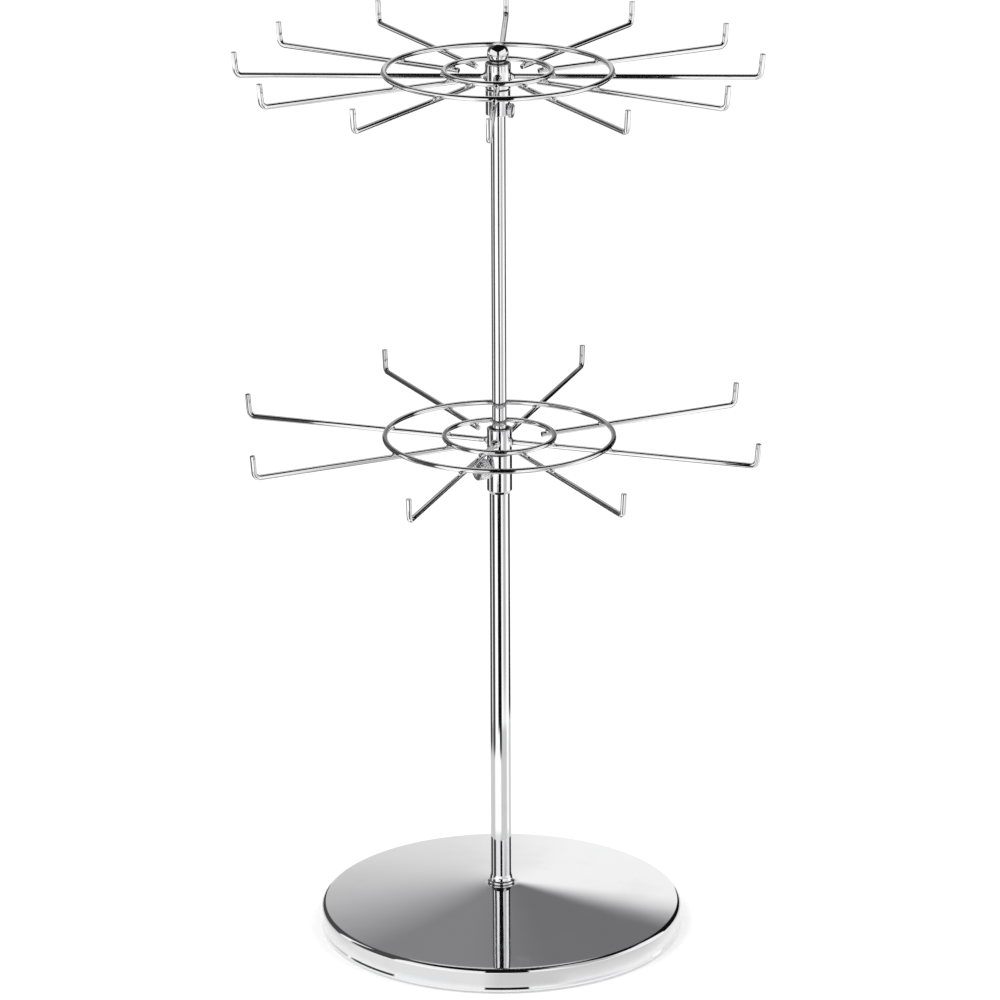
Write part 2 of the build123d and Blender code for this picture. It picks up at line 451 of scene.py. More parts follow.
@cache
def tool_line_effect() -> NodeTree:
    """Make the fine lines of turning or drawing, laid along the piece's own surface.

    Returns:
        The node group, which gives a height.
    """
    bench, given, result = effect_group("Tool lines", ["Around", "Along"], "Height")
    axes = bench.axes("UV")
    across = bench.maths("MULTIPLY", axes["X"], given.outputs["Around"])
    along = bench.maths("MULTIPLY", axes["Y"], given.outputs["Along"])
    spread = bench.add("ShaderNodeCombineXYZ", {"X": across, "Y": along}).outputs["Vector"]
    lines = bench.noise(spread, 1.0, detail=3.0, rough=0.6)
    bench.tree.links.new(lines, result.inputs["Height"])
    return bench.tree


@cache
def handling_effect() -> NodeTree:
    """Make the faint clouds where hands and cloths have dulled a surface.

    Returns:
        The node group, which gives a mask.
    """
    densest, contrast = 0.85, 3.5
    bench, given, result = effect_group("Handling marks", ["Size", "Coverage"], "Mask")
    scale = bench.maths("DIVIDE", 1.0, given.outputs["Size"])
    cloud = bench.noise(bench.place(), scale, detail=5.0, rough=0.62)
    edge = bench.maths("SUBTRACT", densest, given.outputs["Coverage"])
    mask = bench.maths("MULTIPLY", bench.maths("SUBTRACT", cloud, edge), contrast)
    mask.node.use_clamp = True
    bench.tree.links.new(mask, result.inputs["Mask"])
    return bench.tree


@cache
def speck_effect() -> NodeTree:
    """Make scattered grains of dust or pitting.

    Returns:
        The node group, which gives a mask.
    """
    outside, inside = 0.32, 0.12
    bench, given, result = effect_group("Specks", ["Size", "Share"], "Mask")
    scale = bench.maths("DIVIDE", 1.0, given.outputs["Size"])
    cells = bench.add("ShaderNodeTexVoronoi", {"Vector": bench.place(), "Scale": scale}).outputs
    near = bench.ramp(cells["Distance"], outside, inside)
    chance = bench.add("ShaderNodeSeparateColor", {"Color": cells["Color"]}).outputs["Red"]
    kept = bench.maths("LESS_THAN", chance, given.outputs["Share"])
    bench.tree.links.new(bench.maths("MULTIPLY", near, kept), result.inputs["Mask"])
    return bench.tree


# Finishes


class ToolLines(Enum):
    """How a surface was worked, as repeats round the piece and along it per metre."""

    NONE = (0.0, 0.0)
    TURNED = (1.2, 5200.0)
    DRAWN = (26.0, 14.0)


def new_material(name: str) -> tuple[Material, NodeBench, Any]:
    """Start a material.

    Args:
        name: The material's name.

    Returns:
        The material, the bench for its nodes and the inputs of its Principled shader.
    """
    material = bpy.data.materials.new(name)
    material.use_nodes = True
    tree = material.node_tree
    return material, NodeBench(tree), tree.nodes["Principled BSDF"].inputs


@dataclass(frozen=True)
class SurfaceFinish:
    """What all finishes have: a clean and a soiled look, clouds and specks, waves and lines."""

    name: str
    colour: Colour
    soiled: Colour
    roughness: float
    soiled_roughness: float
    cloud_size: float
    wavelength: float
    wave_depth: float
    coverage: float = 0.34
    speck_size: float = 0.0016
    speck_share: float = 0.05
    pitted: bool = False
    lines: ToolLines = ToolLines.NONE
    line_depth: float = 0.0
    metallic: float = 1.0
    sheen: float = 0.5

    def material(self) -> Material:
        """Build the material.

        Returns:
            The new material.
        """
        material, bench, shader = new_material(self.name)
        clouds = bench.effect(handling_effect(), size=self.cloud_size, coverage=self.coverage)
        specks = bench.effect(speck_effect(), size=self.speck_size, share=self.speck_share)
        waves = bench.effect(ripple_effect(), wavelength=self.wavelength)
        if self.pitted:
            mask, height = clouds, bench.maths("SUBTRACT", waves, specks)
        else:
            mask, height = bench.maths("MAXIMUM", clouds, specks), waves
        looks = {"Factor": mask, "A": (*self.colour, 1.0), "B": (*self.soiled, 1.0)}
        tint = bench.add("ShaderNodeMix", looks, data_type="RGBA").outputs["Result"]
        dullness = bench.ramp(clouds, 0.0, 1.0, self.roughness, self.soiled_roughness)
        inputs = {"Height": height, "Distance": self.wave_depth}
        normal = bench.add("ShaderNodeBump", inputs).outputs["Normal"]
        if self.lines is not ToolLines.NONE:
            around, along = self.lines.value
            cut = bench.effect(tool_line_effect(), around=around, along=along)
            inputs = {"Height": cut, "Distance": self.line_depth, "Normal": normal}
            normal = bench.add("ShaderNodeBump", inputs).outputs["Normal"]
        shader["Metallic"].default_value = self.metallic
        shader["Specular IOR Level"].default_value = self.sheen
        for name, value in (("Base Color", tint), ("Roughness", dullness), ("Normal", normal)):
            bench.tree.links.new(value, shader[name])
        return material


@dataclass(frozen=True)
class ChromeFinish(SurfaceFinish):
    """Bright chrome plate, with the waves, tool lines and faint handling marks of one piece."""


@dataclass(frozen=True)
class SteelFinish(SurfaceFinish):
    """Unpolished steel, bare or zinc plated, clouded and pitted by the mill and the bath."""

    coverage: float = 0.42
    speck_size: float = 0.0012
    speck_share: float = 0.12
    pitted: bool = True


@dataclass(frozen=True)
class MouldedFinish(SurfaceFinish):
    """Matt rubber or nylon, with a moulded grain and a little dust."""

    speck_size: float = 0.0011
    speck_share: float = 0.10
    metallic: float = 0.0


class Finish(Enum):
    """The stand's finishes."""

    BASE_CHROME = ChromeFinish(
        "base_chrome", (0.86, 0.86, 0.87), (0.80, 0.80, 0.81), roughness=0.035,
        soiled_roughness=0.10, cloud_size=0.045, wavelength=0.030, wave_depth=0.00008)
    POLE_CHROME = ChromeFinish(
        "pole_chrome", (0.86, 0.86, 0.87), (0.80, 0.80, 0.81), roughness=0.045,
        soiled_roughness=0.11, cloud_size=0.03, wavelength=0.016, wave_depth=0.00002,
        lines=ToolLines.DRAWN, line_depth=0.0000015)
    TURNED_CHROME = ChromeFinish(
        "turned_chrome", (0.85, 0.85, 0.86), (0.79, 0.79, 0.80), roughness=0.05,
        soiled_roughness=0.13, cloud_size=0.012, wavelength=0.006, wave_depth=0.00001,
        lines=ToolLines.TURNED, line_depth=0.000003)
    KNURLED_CHROME = ChromeFinish(
        "knurled_chrome", (0.88, 0.88, 0.89), (0.80, 0.80, 0.81), roughness=0.26,
        soiled_roughness=0.36, cloud_size=0.006, wavelength=0.004, wave_depth=0.00001,
        lines=ToolLines.TURNED, line_depth=0.000004)
    WIRE_CHROME = ChromeFinish(
        "wire_chrome", (0.85, 0.85, 0.86), (0.78, 0.78, 0.79), roughness=0.06,
        soiled_roughness=0.16, cloud_size=0.02, wavelength=0.007, wave_depth=0.00003,
        lines=ToolLines.DRAWN, line_depth=0.000003)
    WEIGHT_STEEL = SteelFinish(
        "weight_steel", (0.42, 0.42, 0.43), (0.27, 0.26, 0.26), roughness=0.34,
        soiled_roughness=0.55, cloud_size=0.03, wavelength=0.004, wave_depth=0.00006)
    ZINC_STEEL = SteelFinish(
        "zinc_steel", (0.62, 0.63, 0.64), (0.52, 0.54, 0.55), roughness=0.26,
        soiled_roughness=0.42, cloud_size=0.008, wavelength=0.0015, wave_depth=0.00002)
    FOOT_RUBBER = MouldedFinish(
        "foot_rubber", (0.035, 0.035, 0.037), (0.10, 0.098, 0.094), roughness=0.62,
        soiled_roughness=0.85, cloud_size=0.009, wavelength=0.0006, wave_depth=0.00004, sheen=0.4)
    # Colour darker than black nylon: partly the real black bush and washers, partly painted shade
    # on the hubs' tops.
    NYLON_AND_PAINTED_SHADE = MouldedFinish(
        "nylon", (0.015, 0.015, 0.016), (0.035, 0.035, 0.034), roughness=0.5,
        soiled_roughness=0.66, cloud_size=0.009, wavelength=0.0009, wave_depth=0.000012,
        coverage=0.28, sheen=0.15)


@cache
def finish_material(finish: Finish) -> Material:
    """Build a finish's material once."""
    return finish.value.material()


# The stand's sub-assemblies


class SubAssembly:
    """What the stand's sub-assemblies share: dressing their own pieces and the kept nodes."""

    def dress(self, piece: Object, body: str, finish: Finish, *nodes: str) -> None:
        """Give a new piece its finish, its body and the nodes that it stands for.

        Args:
            piece: The new piece.
            body: Name of the body that it rides on.
            finish: The piece's finish.
            nodes: The nodes that it replaces.
        """
        piece.data.materials.append(finish_material(finish))
        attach(piece, body)
        if nodes:
            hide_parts(*nodes)
        log.info("%s: %s, rides on %s", piece.name, finish.value.name, body)

    def dress_nodes(self, finish: Finish, *nodes: str) -> None:
        """Give nodes that stay as they are a finish.

        Args:
            finish: The nodes' finish.
            nodes: Names of the nodes.
        """
        for node in nodes:
            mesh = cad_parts[node].data
            mesh.materials.clear()
            mesh.materials.append(finish_material(finish))
            log.info("%s: %s, shape kept", node, finish.value.name)


@dataclass
class WeightedBase(SubAssembly):
    """Pressed round cover over a steel weight, on four rubber feet."""

    radius: float = 100.0
    gauge: float = 1.0
    hole: float = 3.5
    seat_height: float = 24.8
    seat_radius: float = 9.15
    crown_round: float = 20.0
    rim_height: float = 14.0
    rim_round: float = 2.0
    skirt_inset: float = 0.42
    flare_top: float = 3.6
    flare_bottom: float = 2.4
    flare_round: float = 0.6
    curl_round: float = 0.4
    hem_height: float = 1.0
    hem_width: float = 4.1
    hem_round: float = 1.5
    hem_edge: float = 3.6
    segments: int = 288
    round_steps: int = 12

    def cover(self) -> None:
        """Build the cover in one sheet: seat, cone, rounded rim, skirt, flared edge and hem."""
        half = self.gauge / 2
        skirt = self.radius - half - self.skirt_inset
        edge = self.radius - half
        hem = self.radius - self.hem_width
        middle = rounded([
            Corner(self.hole, self.seat_height - half),
            Corner(self.seat_radius, self.seat_height - half, self.crown_round),
            Corner(skirt, self.rim_height - half, self.rim_round),
            Corner(skirt, self.flare_top, self.flare_round),
            Corner(edge, self.flare_bottom, self.flare_round),
            Corner(edge, self.hem_height + half, self.curl_round),
            Corner(hem, self.hem_height + half, self.hem_round),
            Corner(hem, self.hem_edge),
        ], closed=False, steps=self.round_steps)
        cover = Turning(thickened(middle, self.gauge), self.segments).piece("base_cover")
        self.dress(cover, "root", Finish.BASE_CHROME, "base_shell")

    def build(self) -> None:
        """Build and dress the base."""
        self.cover()
        self.dress_nodes(Finish.WEIGHT_STEEL, "weight_plate")
        self.dress_nodes(Finish.ZINC_STEEL, "base_spacer", "base_bolt", "base_washer")
        self.dress_nodes(Finish.FOOT_RUBBER, "rubber_feet")


@dataclass(frozen=True)
class SlipWasher:
    """Thin washer that a hub turns on."""

    name: str
    bore: float
    bottom: float
    radius: float = 6.2
    thickness: float = 0.6
    edge: float = 0.12
    segments: int = 72

    def piece(self) -> Object:
        """Build the washer.

        Returns:
            The new object.
        """
        top = self.bottom + self.thickness
        outline = sleeve_outline(self.bore, self.radius, self.bottom, top, self.edge, steps=3)
        return Turning(outline, self.segments).piece(self.name)


@dataclass
class FixedPole(SubAssembly):
    """Lower tube with its trim ring and the collar that clamps the mast."""

    foot: float = 24.8
    tube_radius: float = 5.65
    tube_bore: float = 4.85
    tube_top: float = 262.8
    tube_edge: float = 0.15
    flange_radius: float = 7.65
    bead: float = 1.0
    flange_height: float = 5.2
    flange_lip: float = 0.3
    flange_steps: int = 12
    collar_radius: float = 7.0
    collar_bore: float = 4.05
    collar_bottom: float = 252.2
    collar_top: float = 274.6
    collar_bevel: float = 2.0
    collar_edges: tuple[float, float, float, float] = (0.1, 0.5, 0.4, 0.2)
    segments: int = 96

    def flange(self) -> None:
        """Build the trim ring: a rounded edge that sweeps up to a thin lip."""
        neck = self.flange_radius - self.bead
        lip = self.tube_radius + self.flange_lip
        steps = self.flange_steps
        outline: Outline = [(self.tube_radius, self.foot)]
        for k in range(steps + 1):
            angle = -pi / 2 + pi * k / steps
            outline.append(
                (neck + self.bead * cos(angle), self.foot + self.bead * (1 + sin(angle))))
        rise = self.flange_height - 2 * self.bead
        for share in [k / steps for k in range(1, steps + 1)]:
            outline.append(
                (neck + (lip - neck) * sqrt(share), self.foot + 2 * self.bead + rise * share))
        outline.append((self.tube_radius, self.foot + self.flange_height))
        ring = Turning(outline, self.segments).piece("pole_trim_ring")
        self.dress(ring, "root", Finish.TURNED_CHROME, "pole_flange")

    def tube(self) -> None:
        """Build the lower tube."""
        outline = sleeve_outline(
            self.tube_bore, self.tube_radius, self.foot, self.tube_top, self.tube_edge)
        tube = Turning(outline, self.segments).piece("lower_pole_tube")
        self.dress(tube, "root", Finish.POLE_CHROME, "lower_tube")

    def collar(self) -> None:
        """Build the lock collar, with its sloped foot and softened top edge."""
        foot, slope, top, mouth = self.collar_edges
        outline = rounded([
            Corner(self.tube_radius, self.collar_bottom, foot),
            Corner(self.collar_radius, self.collar_bottom + self.collar_bevel, slope),
            Corner(self.collar_radius, self.collar_top, top),
            Corner(self.collar_bore, self.collar_top, mouth),
            Corner(self.collar_bore, self.tube_top),
            Corner(self.tube_radius, self.tube_top),
        ])
        collar = Turning(outline, self.segments).piece("lock_collar_turning")
        self.dress(collar, "root", Finish.TURNED_CHROME, "lock_collar")

    def build(self) -> None:
        """Build and dress the fixed part of the pole."""
        self.flange()
        self.tube()
        self.collar()
        washer = SlipWasher("lower_slip_washer", self.collar_bore, self.collar_top)
        self.dress(washer.piece(), "root", Finish.NYLON_AND_PAINTED_SHADE, "lower_thrust_washer")
        self.dress_nodes(Finish.ZINC_STEEL, "foot_insert")


@dataclass
class Mast(SubAssembly):
    """Thin upper tube that slides in the lower one, and the ball that ends it."""

    radius: float = 4.0
    bore: float = 3.0
    bottom: float = 242.5
    top: float = 491.9
    edge: float = 0.2
    ball_radius: float = 5.8
    ball_seat: float = 3.8
    ball_steps: int = 48
    ball_segments: int = 112
    segments: int = 80

    def tube(self) -> None:
        """Build the mast's tube."""
        outline = sleeve_outline(self.bore, self.radius, self.bottom, self.top, self.edge)
        tube = Turning(outline, self.segments).piece("mast_pole_tube")
        self.dress(tube, "mast", Finish.POLE_CHROME, "mast_tube")

    def ball(self) -> None:
        """Build the ball, with the small flat that it seats on."""
        centre = self.top + sqrt(self.ball_radius**2 - self.ball_seat**2)
        low = -atan2(centre - self.top, self.ball_seat)
        outline: Outline = [(0.0, self.top)]
        for k in range(self.ball_steps):
            angle = low + (pi / 2 - low) * k / self.ball_steps
            outline.append(
                (self.ball_radius * cos(angle), centre + self.ball_radius * sin(angle)))
        outline.append((0.0, centre + self.ball_radius))
        ball = Turning(outline, self.ball_segments, closed=False).piece("ball_knob")
        self.dress(ball, "mast", Finish.BASE_CHROME, "ball_finial")

    def build(self) -> None:
        """Build and dress the mast."""
        self.tube()
        self.ball()
        self.dress_nodes(Finish.NYLON_AND_PAINTED_SHADE, "mast_guide_plug")
        self.dress_nodes(Finish.ZINC_STEEL, "finial_insert")


@dataclass
class UpperCollar(SubAssembly):
    """Collar that holds the upper wheel on the mast."""

    radius: float = 6.65
    bore: float = 4.05
    bottom: float = 463.2
    top: float = 477.0
    edge: float = 0.4
    bore_edge: float = 0.2
    flat: float = 5.4
    flat_top: float = 470.1
    flat_step: tuple[float, float] = (-0.01, 0.12)
    flat_angle: float = -18.0
    flat_reach: float = 0.5
    segments: int = 120

    def flat_relief(self, angle: float, radius: float, height: float) -> float:
        """Cut the collar back to the flat under the screw's head.

        Args:
            angle: Angle of the point round the collar.
            radius: Its distance from the axis.
            height: Its height.

        Returns:
            How far the point moves out, which is never more than 0.
        """
        across = cos(angle - radians(self.flat_angle))
        if height > self.flat_top or across < self.flat_reach:
            return 0.0
        return min(0.0, self.flat / across - radius)

    def build(self) -> None:
        """Build and dress the collar and its slip washer."""
        below, above = self.flat_step
        outline = rounded([
            Corner(self.bore, self.bottom, self.bore_edge),
            Corner(self.radius, self.bottom, self.edge),
            Corner(self.radius, self.flat_top + below),
            Corner(self.radius, self.flat_top + above),
            Corner(self.radius, self.top, self.edge),
            Corner(self.bore, self.top, self.bore_edge),
        ])
        turning = Turning(outline, self.segments, relief=self.flat_relief)
        collar = turning.piece("upper_collar_turning")
        self.dress(collar, "upper_collar", Finish.TURNED_CHROME, "upper_collar")
        washer = SlipWasher("upper_slip_washer", self.bore, self.top)
        self.dress(washer.piece(), "upper_collar", Finish.NYLON_AND_PAINTED_SHADE, "upper_thrust_washer")


@dataclass
class ClampScrew(SubAssembly):
    """Thumbscrew that bears on the mast: shank, knurled head, smooth rim and dished face."""

    name: str
    body: str
    node: str
    height: float
    angle: float
    seat: float
    shank_radius: float
    head_radius: float
    head_length: float
    bevel: float
    mast_gap: float = 4.1
    seat_gap: float = 0.3
    point_round: float = 0.3
    edge_round: float = 0.2
    step_round: float = 0.1
    rim_round: float = 0.45
    rim_share: float = 0.28
    knurl_depth: float = 0.35
    knurl_pitch: float = 1.4
    knurl_lead: float = 1.9
    knurl_flat: float = 0.45
    knurl_swell: float = 1.25
    knurl_sink: float = 0.3
    knurl_fade: float = 0.3
    knurl_row: float = 0.13
    dish: float = 0.6
    dish_steps: int = 8
    round_steps: int = 4
    samples: int = 8

    @property
    def inner(self) -> float:
        """Where the head starts along the screw."""
        return self.seat + self.seat_gap

    @property
    def grip(self) -> tuple[float, float]:
        """Where the knurled grip starts and ends along the screw."""
        outer = self.inner + self.head_length
        return self.inner + 2 * self.bevel, outer - self.rim_share * self.head_length

    @property
    def teeth(self) -> int:
        """Number of ridges round the grip."""
        return round(2 * pi * self.head_radius / self.knurl_pitch)

    @staticmethod
    def groove(phase: float) -> float:
        """Give one set of grooves, 0 in the groove and 1 on the ridge."""
        return 1 - abs(2 * (phase - floor(phase)) - 1)

    def knurl(self, angle: float, radius: float, height: float) -> float:
        """Give the diamond pattern of the grip, and nothing off the grip.

        Args:
            angle: Angle of the point round the screw.
            radius: Its distance from the screw's axis.
            height: Its place along the screw.

        Returns:
            The pattern's height.
        """
        low, high = self.grip
        if not low - TINY <= height <= high + TINY:
            return 0.0
        if radius < self.head_radius - 2 * self.knurl_depth:
            return 0.0
        round_axis = self.teeth * angle / (2 * pi)
        along = (height - low) / (self.knurl_lead * self.knurl_pitch)
        grooves = self.groove(round_axis + along), self.groove(round_axis - along)
        ridge = min(*grooves, self.knurl_flat) / self.knurl_flat
        ends = min(1.0, (height - low) / self.knurl_fade, (high - height) / self.knurl_fade)
        relief = ridge * self.knurl_swell - self.knurl_sink
        return self.knurl_depth * max(0.0, ends) * relief

    def build(self) -> None:
        """Build and dress the screw, lying along the radius that it clamps on."""
        inner, outer = self.inner, self.inner + self.head_length
        grip_start, grip_end = self.grip
        radius, bevel = self.head_radius, self.bevel
        outline = rounded([
            Corner(0.0, self.mast_gap),
            Corner(self.shank_radius, self.mast_gap, self.point_round),
            Corner(self.shank_radius, inner),
            Corner(radius - 3 * bevel, inner, self.edge_round),
            Corner(radius - self.knurl_depth, grip_start),
            Corner(radius - self.knurl_depth, grip_end),
            Corner(radius, grip_end + bevel / 2, self.step_round),
            Corner(radius, outer, self.rim_round),
            Corner(radius - 3 * bevel, outer, self.edge_round),
            Corner(radius - 4 * bevel, outer - bevel),
        ], closed=False, steps=self.round_steps)
        outline = filled_rows(outline, grip_start, grip_end, self.knurl_row)
        rim, dish_edge = outline[-1]
        for share in [1 - k / self.dish_steps for k in range(1, self.dish_steps + 1)]:
            outline.append((rim * share, dish_edge - self.dish * (1 - share**2)))
        place = (
            Matrix.Translation((0, 0, self.height))
            @ Matrix.Rotation(radians(self.angle), 4, "Z")
            @ Matrix.Rotation(pi / 2, 4, "Y")
        )
        turning = Turning(outline, self.teeth * self.samples, closed=False, relief=self.knurl)
        screw = turning.piece(self.name, place)
        self.dress(screw, self.body, Finish.KNURLED_CHROME, self.node)


@dataclass
class HookWheel(SubAssembly):
    """One wheel: hub and bush, wire hooks and the two rings welded across them."""

    tier: str
    hub_bottom: float
    reach: float
    outer_ring: float
    inner_ring: float
    hooks: int
    start_angle: float
    # The bush's dark flange reaches this radius; wider on the upper wheel as painted shade under
    # the ball.
    flange_radius: float
    hub_radius: float = 6.9
    hub_length: float = 13.6
    hub_edges: tuple[float, float, float] = (0.2, 0.4, 0.1)
    hub_segments: int = 96
    bush_radius: float = 5.25
    bore: float = 4.05
    bush_recess: float = 0.3
    bush_edges: tuple[float, float] = (0.2, 0.12)
    bush_segments: int = 72
    flange_depth: float = 0.7
    flange_recess: float = 0.15
    spoke_height: float = 6.2
    spoke_root: float = 0.6
    wire_radius: float = 1.5
    wire_sides: int = 24
    wire_edge: float = 0.25
    ring_radius: float = 1.5
    ring_segments: tuple[int, int] = (240, 144)
    bend: float = 3.5
    bend_steps: int = 14
    hook_height: float = 12.5
    lean_angle: float = 5.0
    overhang: float = 4.2
    long_spokes: int = 4
    weld_sink: float = 0.3
    weld_bore: float = 0.2
    weld_root: float = 0.9
    weld_spread: float = 1.2
    weld_reach: float = 2.2
    weld_lip: float = 0.02
    weld_steps: int = 8
    weld_segments: int = 40
    bead_size: tuple[float, float, float] = (1.95, 1.95, 1.15)
    bead_turn: float = 45.0
    bead_seeds: tuple[float, float] = (3.7, 11.3)

    @property
    def body(self) -> str:
        """Name of the wheel's body."""
        return f"{self.tier}_tier"

    @property
    def hub_top(self) -> float:
        """Height of the hub's top."""
        return self.hub_bottom + self.hub_length

    @property
    def spoke_z(self) -> float:
        """Height of the spokes' centre."""
        return self.hub_bottom + self.spoke_height

    @property
    def ring_z(self) -> float:
        """Height of the rings' centre."""
        return self.spoke_z + self.wire_radius + self.ring_radius - self.weld_sink

    def is_long(self, index: int) -> bool:
        """Tell whether a spoke runs in to the hub."""
        return index % (self.hooks // self.long_spokes) == 0

    def spoke_angle(self, index: int) -> float:
        """Give a spoke's angle in degrees."""
        return self.start_angle + 360 / self.hooks * index

    def hub(self) -> None:
        """Build the hub's sleeve."""
        bore_edge, edge, flange_edge = self.hub_edges
        top = self.hub_top
        outline = rounded([
            Corner(self.bush_radius, self.hub_bottom, bore_edge),
            Corner(self.hub_radius, self.hub_bottom, edge),
            Corner(self.hub_radius, top, edge),
            Corner(self.flange_radius, top, flange_edge),
            Corner(self.flange_radius, top - self.flange_depth),
            Corner(self.bush_radius, top - self.flange_depth),
        ])
        hub = Turning(outline, self.hub_segments).piece(f"{self.tier}_hub_turning")
        self.dress(hub, self.body, Finish.TURNED_CHROME, f"{self.tier}_hub")

    def bush(self) -> None:
        """Build the bush that runs on the pole, with its flange let into the hub's top."""
        # The near-black flange is partly the real bush and partly painted shade round the pole.
        bore_edge, flange_edge = self.bush_edges
        top = self.hub_top
        outline = rounded([
            Corner(self.bore, self.hub_bottom + self.bush_recess, bore_edge),
            Corner(self.bush_radius, self.hub_bottom + self.bush_recess),
            Corner(self.bush_radius, top - self.flange_depth),
            Corner(self.flange_radius, top - self.flange_depth),
            Corner(self.flange_radius, top - self.flange_recess, flange_edge),
            Corner(self.bore, top - self.flange_recess, bore_edge),
        ], steps=3)
        bush = Turning(outline, self.bush_segments).piece(f"{self.tier}_bush_ring")
        self.dress(bush, self.body, Finish.NYLON_AND_PAINTED_SHADE, f"{self.tier}_bush")

    def ring(self, label: str, radius: float, segments: int) -> None:
        """Build one ring of wire.

        Args:
            label: Which ring it is.
            radius: Radius of its centreline.
            segments: Number of divisions round the ring.
        """
        turns = [2 * pi * k / self.wire_sides for k in range(self.wire_sides)]
        outline = [
            (radius + self.ring_radius * cos(a), self.ring_z + self.ring_radius * sin(a))
            for a in turns
        ]
        ring = Turning(outline, segments).piece(f"{self.tier}_{label}_ring_wire")
        self.dress(ring, self.body, Finish.WIRE_CHROME, f"{self.tier}_{label}_ring")

    def hook_path(self, inner: float) -> list[Vector]:
        """Give the centreline of one hook, from its inner end to its tip.

        Args:
            inner: Where the wire starts along its spoke.

        Returns:
            The points of the centreline.
        """
        tip = self.reach + self.hook_height * tan(radians(self.lean_angle))
        corners = [
            Corner(inner, 0.0), Corner(self.reach, 0.0, self.bend), Corner(tip, self.hook_height)]
        outline = rounded(corners, closed=False, steps=self.bend_steps)
        return [Vector((r, 0, z)) for r, z in outline]

    def hook(self, index: int) -> None:
        """Build one hook; a long one gets the fillet of weld that joins it to the hub.

        Args:
            index: Number of the spoke, from 0.
        """
        shape = bmesh.new()
        is_long = self.is_long(index)
        inner = self.hub_radius - self.spoke_root if is_long else self.inner_ring - self.overhang
        path = self.hook_path(inner)
        add_wire(shape, path, self.wire_radius, self.wire_sides, self.wire_edge)
        if is_long:
            self.add_hub_weld(shape, index)
        turn = Matrix.Rotation(radians(self.spoke_angle(index)), 4, "Z")
        place = Matrix.Translation((0, 0, self.spoke_z)) @ turn
        node = f"{self.tier}_hook_{index + 1:02d}"
        wire = finished_mesh(f"{node}_wire", shape, place)
        self.dress(wire, self.body, Finish.WIRE_CHROME, node)

    def weld_lumps(self, index: int, angle: float, radius: float, height: float) -> float:
        """Give the ripple that the runs of a hub weld leave.

        Args:
            index: Number of the spoke, from 0.
            angle: Angle of the point round the spoke.
            radius: Its distance from the spoke's axis.
            height: Its place along the spoke.

        Returns:
            The ripple's height.
        """
        runs, run_height, lump_height, deepest = 9, 0.06, 0.22, -0.1
        across, along, apart = 1.3, 0.6, 7.0
        place = Vector((cos(angle) * across, sin(angle) * across, height * along + index * apart))
        share = min(1.0, (radius - self.wire_radius) / self.weld_spread)
        lump = lump_height * noise.noise(place) + run_height * sin(runs * angle)
        return max(deepest, lump) * max(0.0, share)

    def add_hub_weld(self, shape: BMesh, index: int) -> None:
        """Add the lumpy fillet of weld round a long spoke's root.

        Args:
            shape: The mesh of the hook.
            index: Number of the spoke, from 0.
        """
        weld = bmesh.new()
        root = self.hub_radius - self.weld_root
        outline: Outline = [(self.weld_bore, root), (self.wire_radius + self.weld_spread, root)]
        for k in range(self.weld_steps + 1):
            angle = pi / 2 * k / self.weld_steps
            outline.append((
                self.wire_radius + self.weld_spread * (1 - sin(angle)) + self.weld_lip,
                self.hub_radius + self.weld_reach * (1 - cos(angle)),
            ))
        lumps = partial(self.weld_lumps, index)
        Turning(outline, self.weld_segments, closed=False, relief=lumps).add(weld)
        weld.transform(Matrix.Rotation(pi / 2, 4, "Y"))
        mesh = bpy.data.meshes.new("weld_root")
        weld.to_mesh(mesh)
        weld.free()
        shape.from_mesh(mesh)
        bpy.data.meshes.remove(mesh)

    def crossing_welds(self) -> None:
        """Build the small beads of weld where the rings cross the spokes."""
        shape = bmesh.new()
        size = Vector(self.bead_size)
        middle = (self.spoke_z + self.ring_z) / 2
        spoke_seed, ring_seed = self.bead_seeds
        for index in range(self.hooks):
            angle = self.spoke_angle(index)
            out = Vector((cos(radians(angle)), sin(radians(angle)), 0))
            for number, radius in enumerate((self.inner_ring, self.outer_ring)):
                centre = out * radius + Vector((0, 0, middle))
                seed = index * spoke_seed + number * ring_seed
                add_bead(shape, centre, size, angle + self.bead_turn, seed)
        welds = finished_mesh(f"{self.tier}_crossing_welds", shape)
        self.dress(welds, self.body, Finish.WIRE_CHROME)

    def build(self) -> None:
        """Build and dress the wheel."""
        self.hub()
        self.bush()
        outer_segments, inner_segments = self.ring_segments
        self.ring("outer", self.outer_ring, outer_segments)
        self.ring("inner", self.inner_ring, inner_segments)
        for index in range(self.hooks):
            self.hook(index)
        self.crossing_welds()


# The studio


class Tone(Enum):
    """Brightness of a card that only reflections see."""

    BLACK = 0.006
    CHARCOAL = 0.07
    GREY = 0.19
    DEEP_SHADE = 0.42
    PALE = 0.54
    SHADE = 0.68
    SOFT_SHADE = 0.86


@dataclass(frozen=True)
class Card:
    """A card that only reflections see; azimuth 0 is at the front and 90 at the right."""

    name: str
    azimuth: float
    distance: float
    width: float
    bottom: float
    top: float
    tone: Tone
    fade_side: float = 0.05
    fade_end: float = 0.012

    def rails(self) -> tuple[list[Vector], list[Vector]]:
        """Give the card's outline.

        Returns:
            Its lower and its upper edge.
        """
        out = Vector((sin(radians(self.azimuth)), -cos(radians(self.azimuth)), 0))
        side = Vector((-out.y, out.x, 0)) * self.width / 2
        ends = [out * self.distance - side, out * self.distance + side]
        low, high = Vector((0, 0, self.bottom)), Vector((0, 0, self.top))
        return [p + low for p in ends], [p + high for p in ends]


